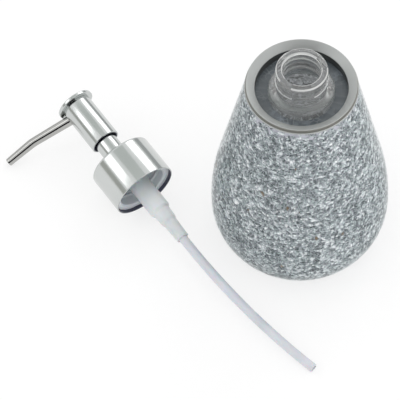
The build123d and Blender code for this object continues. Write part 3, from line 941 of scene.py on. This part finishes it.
def make_body():
    floor = recess_floor - JOINT_GAP
    under = floor - GLASS_WALL
    outside = outline(GLASS_INSET, 0, floor - SHOULDER_ROUND)
    inside = outline(GLASS_INSET + GLASS_WALL, GLASS_FLOOR, under - SHOULDER_ROUND)
    wall = outline(GLASS_INSET + GLASS_WALL / 2, GLASS_FLOOR / 2, floor)
    widest = bottle_radius - GLASS_INSET - GLASS_WALL / 2
    hole = BEAD_RADIUS + JOINT_GAP
    top = outside[-1]
    centre = (top[0] - SHOULDER_ROUND * cos(flank_lean), top[1] - SHOULDER_ROUND * sin(flank_lean))
    shoulder = arc(centre, SHOULDER_ROUND, flank_lean, pi / 2, SHOULDER_STEPS)[1:]
    section = [(0, PUNT_DEPTH), (PUNT_RADIUS - PUNT_DEPTH, PUNT_DEPTH), (PUNT_RADIUS, 0)] + outside
    section += shoulder[:-1] + [(shoulder[-1][0], floor), (hole, floor), (hole, under)]
    section += inside[::-1] + [(0, GLASS_FLOOR)]

    def paint(radius, height):
        """1 for the recess floor and the shoulder, 2 for the inside, which glows with painted light."""
        if under < height < floor and radius < hole + JOINT_GAP:
            return 0
        if height > floor - SHOULDER_ROUND:
            return 1
        middle = min(wall, key=lambda p: abs(p[1] - height))[0]
        return 2 if height > GLASS_FLOOR - TINY and radius < min(middle, widest) else 0

    turn("bottle_body", section, "bottle", [FOOT, RECESS, INSIDE_GLOW], "bottle_glass", paint=paint)


# Pump

pump_origin = Vector(joints["collar_turn"]["pos_m"])
pump_up = Vector(joints["collar_turn"]["axis"]).normalized()


def from_axis(node):
    """Height along the pump's axis and the step away from it, for each corner of a solid."""
    rows = []
    for vertex in frame["nodes"][node].data.vertices:
        step = vertex.co - pump_origin
        height = step.dot(pump_up)
        rows.append((height, step - pump_up * height))
    return rows


def span(node):
    """Lowest and highest height, inner and outer radius of a solid about the pump's axis."""
    rows = from_axis(node)
    heights = [height for height, _ in rows]
    radii = [step.length for _, step in rows]
    return min(heights), max(heights), min(radii), max(radii)


def along_pump(across):
    """Placing matrix with local Z along the pump and local X along a given direction."""
    x = (across - pump_up * across.dot(pump_up)).normalized()
    return placing(x, pump_up.cross(x), pump_up, pump_origin)


nozzle_steps = [step for _, step in from_axis("nozzle")]
nozzle_far = max(step.length for step in nozzle_steps)
tip_corners = [step for step in nozzle_steps if step.length > nozzle_far - NOZZLE_END]
pump_place = along_pump(sum(tip_corners, Vector()) / len(tip_corners))
tube_place = along_pump(Vector((0, 0, 1)).cross(-pump_up))


def turned_section(node, size):
    """Section of a turned solid, read from its faces, with its corners rounded."""
    corners, index, number = [], {}, []
    for height, step in from_axis(node):
        key = (round(step.length / READ_GRAIN), round(height / READ_GRAIN))
        near = [index.get((key[0] + i, key[1] + j)) for i in (-1, 0, 1) for j in (-1, 0, 1)]
        hit = next((n for n in near if n is not None), None)
        if hit is None:
            hit = len(corners)
            corners.append((step.length, height))
            index[key] = hit
        number.append(hit)
    links = {}
    for polygon in frame["nodes"][node].data.polygons:
        ends = sorted({number[v] for v in polygon.vertices})
        for a in ends:
            links.setdefault(a, set()).update(b for b in ends if b != a)
    start = max(range(len(corners)), key=lambda n: (corners[n][0], -corners[n][1]))
    loop = [start]
    step_to = max(links[start], key=lambda n: (corners[n][1], n))
    while step_to != start:
        loop.append(step_to)
        step_to = next(n for n in sorted(links[step_to]) if n != loop[-2])
    return rounded([corners[n] + (size,) for n in loop], TURNED_STEPS)


def make_collar():
    low, high, hole, radius = span("collar_shell")
    inside = radius - SHELL_WALL
    plate = high - SHELL_WALL
    section = rounded([
        (inside, low, EDGE_ROUND),
        (radius, low, EDGE_ROUND),
        (radius, high, COLLAR_ROUND),
        (hole, high, EDGE_ROUND),
        (hole, plate, EDGE_ROUND),
        (inside, plate, SHELL_WALL),
    ], FINE_STEPS)

    def paint(r, z):
        """1 for the inside, painted dark as its shade."""
        return 1 if r < radius - SHELL_WALL / 2 and z < plate + SHELL_WALL / 2 else 0

    turn("collar_shell_plated", section, "collar", [CHROME, DARK_INSIDE_SHADE], "chrome", ["collar_shell"],
         place=pump_place, paint=paint)


def make_insert():
    section = turned_section("collar_cap", EDGE_ROUND)
    low, high, _, _ = span("collar_cap")
    bore = min(r for r, z in section if z < (low + high) / 2)
    ends = [z for r, z in section if abs(r - bore) < NEAR]
    wall_low, wall_high = min(ends), max(ends)
    points = []
    for i, (r, z) in enumerate(section):
        points.append((r, z))
        next_r, next_z = section[(i + 1) % len(section)]
        if abs(r - bore) < NEAR and abs(next_r - bore) < NEAR and abs(next_z - z) > MM:
            points += [(bore, z + (next_z - z) * k / THREAD_ROWS) for k in range(1, THREAD_ROWS)]

    def wave(radius, height, angle):
        on_wall = abs(radius - bore) < NEAR and wall_low < height < wall_high
        return -ridge(height, angle, wall_low + CAP_START, CAP_RIDGE) if on_wall else 0.0

    turn("collar_insert", points, "collar", [INSERT], "insert_plastic", ["collar_cap"],
         place=pump_place, wave=wave)


def make_turned(name, node, material, slot, size):
    turn(name, turned_section(node, size), "pump_body", [material], slot, [node], place=pump_place)


def make_head():
    low, high, _, radius = span("head_shell")
    inside = radius - HEAD_WALL
    section = rounded([
        (inside, low, SMALL_ROUND),
        (radius - HEAD_LIP, low, 0),
        (radius, low, EDGE_ROUND),
        (radius, high, SMALL_ROUND),
        (inside, high, SMALL_ROUND),
    ])

    def paint(r, z):
        """1 for the inside and the rim next to it, painted dark as their shade."""
        return 1 if z < high - HEAD_TOP and r < radius - HEAD_LIP else 0

    turn("head_shell_plated", section, "plunger", [CHROME, DARK_INSIDE_SHADE], "chrome", ["head_shell"],
         place=pump_place, paint=paint)


def make_plate():
    low, _, _, radius = span("head_cap")
    spigot = span("head_shell")[3] - HEAD_WALL - SPIGOT_PLAY
    bottom = low + SPIGOT_DEPTH
    shoulder = radius - PLATE_ROUND
    top = bottom + PLATE_THICKNESS
    crown = shoulder ** 2 / (2 * PLATE_CROWN) + PLATE_CROWN / 2
    section = rounded([
        (0, low, 0),
        (spigot, low, 0),
        (spigot, bottom, 0),
        (radius, bottom, PLATE_FOOT_ROUND),
        (radius, top, PLATE_ROUND),
        (shoulder - PLATE_LEAD, top, 0),
    ], FINE_STEPS)[:-1]
    for i in range(CROWN_STEPS + 1):
        reach = shoulder * (1 - i / CROWN_STEPS)
        section.append((reach, top + PLATE_CROWN - crown + sqrt(crown ** 2 - reach ** 2)))
    turn("press_plate", section, "plunger", [CHROME], "chrome", ["head_cap"], place=pump_place)


def ahead(station, run, radius):
    """The station a run further on, with a radius of its own."""
    x, z, heading, _ = station
    return x + run * sin(heading), z + run * cos(heading), heading, radius


def straight(start, length, radius, steps):
    """Stations along a straight stretch after a station, up to another radius."""
    first = start[3]
    numbers = range(1, steps + 1)
    return [ahead(start, length * i / steps, first + (radius - first) * i / steps) for i in numbers]


def make_nozzle():
    height = span("head_shell")[1] - NOZZLE_DROP
    path = [(NOZZLE_SEAT, height, pi / 2 - NOZZLE_RISE, NOZZLE_ROOT)]
    path += straight(path[-1], NOZZLE_FIRST, NOZZLE_MIDDLE, RUN_STEPS)
    step = (NOZZLE_RISE - NOZZLE_TAIL) / FINE_STEPS
    chord = 2 * NOZZLE_BEND * sin(step / 2)
    for _ in range(FINE_STEPS):
        x, z, heading, radius = path[-1]
        middle = heading + step / 2
        path.append((x + chord * sin(middle), z + chord * cos(middle), heading + step, radius))
    path += straight(path[-1], NOZZLE_LAST - NOZZLE_LIP, NOZZLE_TIP, RUN_STEPS)
    end = path[-1]
    lip = []
    for i in range(1, ROUND_STEPS + 1):
        angle = pi / 2 * i / ROUND_STEPS
        lip.append(ahead(end, NOZZLE_LIP * sin(angle), end[3] - NOZZLE_LIP * (1 - cos(angle))))
    bore = [station[:3] + (NOZZLE_BORE,) for station in [lip[-1]] + path[::BORE_SKIP][::-1]]
    finish_mesh("nozzle_plated", *swept(path + lip + bore, pump_place, NOZZLE_SIDES), "plunger", [SPOUT],
                "chrome", ["nozzle"])


def make_tube():
    path = [(0.0, span("dip_tube")[1], pi, TUBE_RADIUS)]
    path += straight(path[-1], TUBE_STRAIGHT, TUBE_RADIUS, TUBE_STRAIGHT_STEPS)
    start = path[-1][1]
    for i in range(1, TUBE_BEND_STEPS + 1):
        angle = TUBE_BEND_LENGTH / TUBE_BEND * i / TUBE_BEND_STEPS
        path.append((TUBE_BEND * (1 - cos(angle)), start - TUBE_BEND * sin(angle), pi - angle, TUBE_RADIUS))
    bore = [station[:3] + (TUBE_BORE,) for station in reversed(path)]
    finish_mesh("dip_tube_drawn", *swept(path + bore, tube_place, TUBE_SIDES), "pump_body", [TUBE],
                "tube_plastic", ["dip_tube"])


def make_spring():
    low, high, _, _ = span("spring")
    rise = high - low - 2 * WIRE_RADIUS
    count = SPRING_TURNS * SPRING_STEPS
    verts, rings, faces = [], [], []
    for i in range(count + 1):
        angle = tau * SPRING_TURNS * i / count
        height = low + WIRE_RADIUS + rise * i / count
        centre = Vector((SPRING_RADIUS * cos(angle), SPRING_RADIUS * sin(angle), height))
        way = Vector((-sin(angle), cos(angle), rise / (tau * SPRING_TURNS * SPRING_RADIUS))).normalized()
        out = Vector((cos(angle), sin(angle), 0))
        ring = circle(centre, out, way.cross(out), WIRE_RADIUS, WIRE_SIDES)
        rings.append(add_ring(verts, [pump_place @ point for point in ring]))
    for a, b in zip(rings, rings[1:]):
        faces += band(a, b)
    faces += [tuple(reversed(rings[0])), tuple(rings[-1])]
    tags = [0] * len(faces)
    piece = finish_mesh("spring_wire", verts, faces, tags, "pump_body", [STEEL], "spring_steel", ["spring"])
    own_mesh(piece)


def dress_solids():
    """Materials for the solids that stay as they are."""
    kept = {
        "gasket": RUBBER, "chaplet": NATURAL, "ball_cage": NATURAL, "piston": NATURAL, "stem": NATURAL,
        "piston_seat": NATURAL, "actuator_core": NATURAL, "inlet_ball": STEEL, "outlet_ball": STEEL,
    }
    for node, material in kept.items():
        mesh = frame["nodes"][node].data
        mesh.materials.clear()
        mesh.materials.append(material)


make_bed()
make_chips()
make_coat()
make_rim()
make_body()
make_neck()
make_collar()
make_insert()
make_turned("housing_moulded", "housing", NATURAL, "natural_plastic", HOUSING_ROUND)
make_turned("chimney_plated", "chimney", CHROME, "chrome", CHIMNEY_ROUND)
make_head()
make_plate()
make_nozzle()
make_tube()
make_spring()
dress_solids()


# Stage, lights and camera

FLOOR_SIZE = 8.0
FLOOR_DROP = 0.2 * MM
WORLD_LEVEL = 1.0
FLOOR_SHADE = 0.84
SEEN_SHADE = 0.30  # the same, for rays that show the floor
SEEN_LIFT = 0.70  # brings the seen floor up to white
STAGE_MIDDLE = Vector((-0.06, 0.0, 0.04))
STAGE_REACH = 3.0  # from there to a lamp or a card

# Camera, fitted to the photograph
CAMERA_PLACE = Vector((-54.889 * MM, -775.586 * MM, 1226.49 * MM))
CAMERA_TILT = radians(57.184)
CAMERA_ROLL = radians(-2.412)
CAMERA_LENS = 234.0
CAMERA_SENSOR = 36.0
CAMERA_NEAR = 0.01
CAMERA_FAR = 60.0


def seen_ray(nodes):
    """1 for a ray from the camera, a reflection or glass."""
    names = ("Is Camera Ray", "Is Glossy Ray", "Is Transmission Ray")
    camera, glossy, clear = [nodes.add("ShaderNodeLightPath", {}, name) for name in names]
    return nodes.math("MAXIMUM", nodes.math("MAXIMUM", camera, glossy), clear)


def make_world():
    world = bpy.data.worlds.new("studio")
    bpy.context.scene.world = world
    nodes = Nodes(world, "ShaderNodeOutputWorld")
    nodes.put(nodes.add("ShaderNodeBackground", {"Color": mask(1), "Strength": WORLD_LEVEL}), nodes.surface)


def plane(name, centre, across, along):
    """A flat stage piece from its middle and two half sides."""
    near, far = centre - along, centre + along
    mesh = bpy.data.meshes.new(name)
    mesh.from_pydata([near - across, near + across, far + across, far - across], [], [(0, 1, 2, 3)])
    piece = new_object(name, mesh)
    material = bpy.data.materials.new(name)
    mesh.materials.append(material)
    return piece, Nodes(material)


def make_floor():
    half = FLOOR_SIZE / 2
    _, nodes = plane("floor", Vector((0, 0, -FLOOR_DROP)), Vector((half, 0, 0)), Vector((0, half, 0)))
    seen = seen_ray(nodes)
    paper = nodes.add("ShaderNodeBsdfDiffuse", {"Color": nodes.between(seen, FLOOR_SHADE, SEEN_SHADE)})
    lift = nodes.add("ShaderNodeEmission", {"Strength": nodes.math("MULTIPLY", seen, SEEN_LIFT)})
    nodes.put(nodes.add("ShaderNodeAddShader", {0: paper, 1: lift}), nodes.surface)


def toward(azimuth, elevation):
    a, e = radians(azimuth), radians(elevation)
    return Vector((cos(a) * cos(e), sin(a) * cos(e), sin(e)))


def make_lamp(name, azimuth, elevation, width, height, level, roll=0.0):
    """A soft box, its level being how bright its face looks."""
    data = bpy.data.lights.new(name, "AREA")
    data.shape = "RECTANGLE"
    data.size, data.size_y = width, height
    data.energy = level * pi * width * height
    lamp = new_object(name, data)
    way = toward(azimuth, elevation)
    lamp.location = STAGE_MIDDLE + way * STAGE_REACH
    turned = way.to_track_quat("Z", "Y") @ Quaternion((0, 0, 1), radians(roll))
    lamp.rotation_euler = turned.to_euler()


def make_card(name, azimuth, elevation, width, height, colour, distance=STAGE_REACH):
    """A grey card that only reflections see."""
    way = toward(azimuth, elevation)
    across = Vector((0, 0, 1)).cross(way).normalized()
    up = way.cross(across)
    card, nodes = plane(name, STAGE_MIDDLE + way * distance, across * (width / 2), up * (height / 2))
    card.visible_camera = False
    card.visible_diffuse = False
    card.visible_shadow = False
    card.visible_transmission = False
    nodes.put(nodes.add("ShaderNodeEmission", {"Color": colour}), nodes.surface)


def make_camera():
    data = bpy.data.cameras.new("camera")
    data.lens = CAMERA_LENS
    data.sensor_width = CAMERA_SENSOR
    data.sensor_fit = "HORIZONTAL"
    data.clip_start, data.clip_end = CAMERA_NEAR, CAMERA_FAR
    camera = new_object("camera", data)
    back = Vector((0, -cos(CAMERA_TILT), sin(CAMERA_TILT)))
    right = Vector((1, 0, 0))
    up = Vector((0, sin(CAMERA_TILT), cos(CAMERA_TILT)))
    turned_right = right * cos(CAMERA_ROLL) + up * sin(CAMERA_ROLL)
    turned_up = up * cos(CAMERA_ROLL) - right * sin(CAMERA_ROLL)
    camera.matrix_world = placing(turned_right, turned_up, back, CAMERA_PLACE)
    bpy.context.scene.camera = camera


make_world()
make_floor()
make_lamp("left_box", azimuth=187, elevation=42, width=0.54, height=1.38, level=1.42, roll=19)
make_lamp("back_box", azimuth=60, elevation=38, width=1.06, height=1.33, level=1.58)
make_lamp("right_box", azimuth=-25, elevation=11, width=1.5, height=1.0, level=2.6)
make_card("left_flag", azimuth=192, elevation=15, width=1.7, height=0.95, colour=shade(0.73, 0.735, 0.715))
make_card("top_flag", azimuth=124, elevation=73, width=1.95, height=1.06, colour=shade(0.85, 0.865, 0.855))
make_card("back_flag", azimuth=57, elevation=8, width=2.2, height=1.1, colour=shade(0.72, 0.73, 0.73))
make_card("far_flag", azimuth=128, elevation=3, width=1.6, height=1.0, colour=shade(0.70, 0.70, 0.70))
make_card("front_flag", azimuth=-94, elevation=57, width=0.95, height=0.8, colour=shade(0.10, 0.10, 0.10),
          distance=1.15)
make_card("front_low_flag", azimuth=250, elevation=26, width=2.3, height=1.4, colour=shade(0.10, 0.10, 0.13))
make_camera()

bpy.context.scene.view_settings.view_transform = "Standard"
